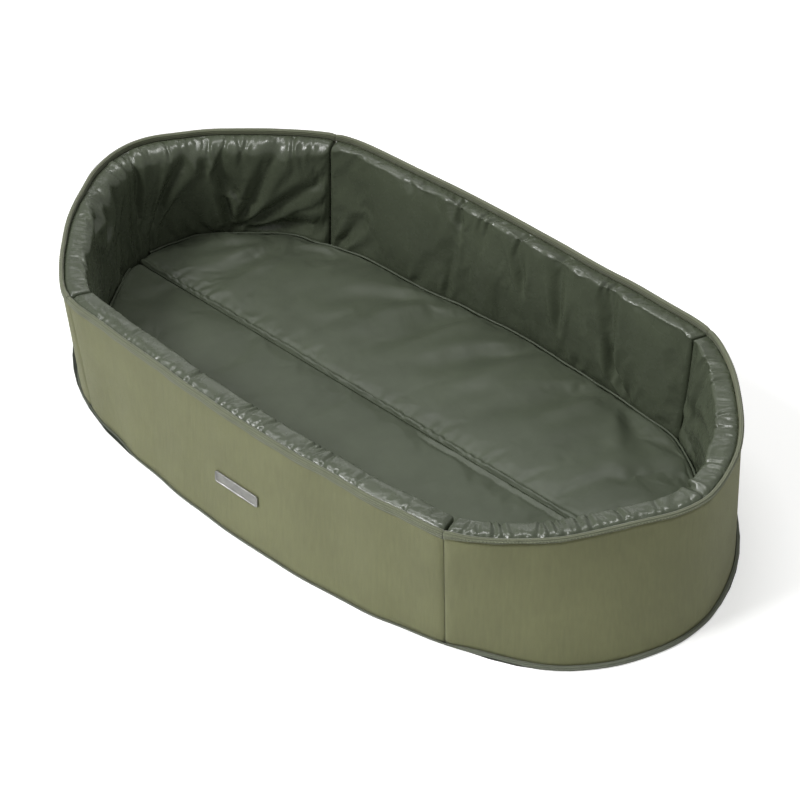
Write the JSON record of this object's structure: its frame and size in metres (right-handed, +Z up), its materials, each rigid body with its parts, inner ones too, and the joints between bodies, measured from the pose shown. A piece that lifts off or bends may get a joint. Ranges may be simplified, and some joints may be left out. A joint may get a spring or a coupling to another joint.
{
  "type": "unhooking mat",
  "caption": "Oval padded unhooking mat: foam walls with a coated liner and bound rim round a soft floor in two cushions, folding in half along the floor's centre seam",
  "frame": {"origin": "middle of the bounding box, at the ground", "axes": "X along the mat with the end nearer the viewer at +X, Y across it with the front long wall at -Y, Z up"},
  "size_m": [1.0435, 0.5566, 0.19],
  "materials": {
    "shell": "olive woven nylon with a faint sheen",
    "liner": "dark green PVC-coated fabric, wet-looking gloss",
    "floor": "grey-green PVC-coated fabric, satin",
    "binding_tape": "light green ribbed polyester tape",
    "foot_binding": "grey-green polyester tape",
    "foam": "closed-cell foam, matt",
    "underside": "dark coated nylon",
    "badge": "dull pewter, bare"
  },
  "bodies": {
    "rear_half": {"base_sheet_rear": "underside", "floor_foam_rear": "foam", "floor_cover_rear": "floor", "floor_welt_rear": "floor", "centre_seam_tape": "binding_tape", "wall_foam_rear": "foam", "wall_liner_rear": "liner", "wall_shell_rear": "shell", "rim_binding_rear": "binding_tape", "foot_binding_rear": "foot_binding", "end_foam_left_rear": "foam", "end_foam_right_rear": "foam", "end_liner_left": "liner", "end_liner_right": "liner", "end_shell_left": "shell", "end_shell_right": "shell", "rim_binding_left": "binding_tape", "rim_binding_right": "binding_tape", "foot_binding_left": "foot_binding", "foot_binding_right": "foot_binding"},
    "front_half": {"base_sheet_front": "underside", "floor_foam_front": "foam", "floor_cover_front": "floor", "floor_welt_front": "floor", "wall_foam_front": "foam", "wall_liner_front": "liner", "wall_shell_front": "shell", "rim_binding_front": "binding_tape", "foot_binding_front": "foot_binding", "end_foam_left_front": "foam", "end_foam_right_front": "foam", "badge_plate": "badge"}
  },
  "joints": [
    {"name": "centre_fold", "type": "hinge", "parent": "rear_half", "child": "front_half", "pos_m": [0, 0, 0.0294], "axis": [-1, 0, 0], "range_deg": [0, 106], "deforming": ["end_liner_left", "end_liner_right", "end_shell_left", "end_shell_right", "rim_binding_left", "rim_binding_right", "foot_binding_left", "foot_binding_right", "end_foam_left_rear", "end_foam_right_rear", "end_foam_left_front", "end_foam_right_front"]}
  ]
}
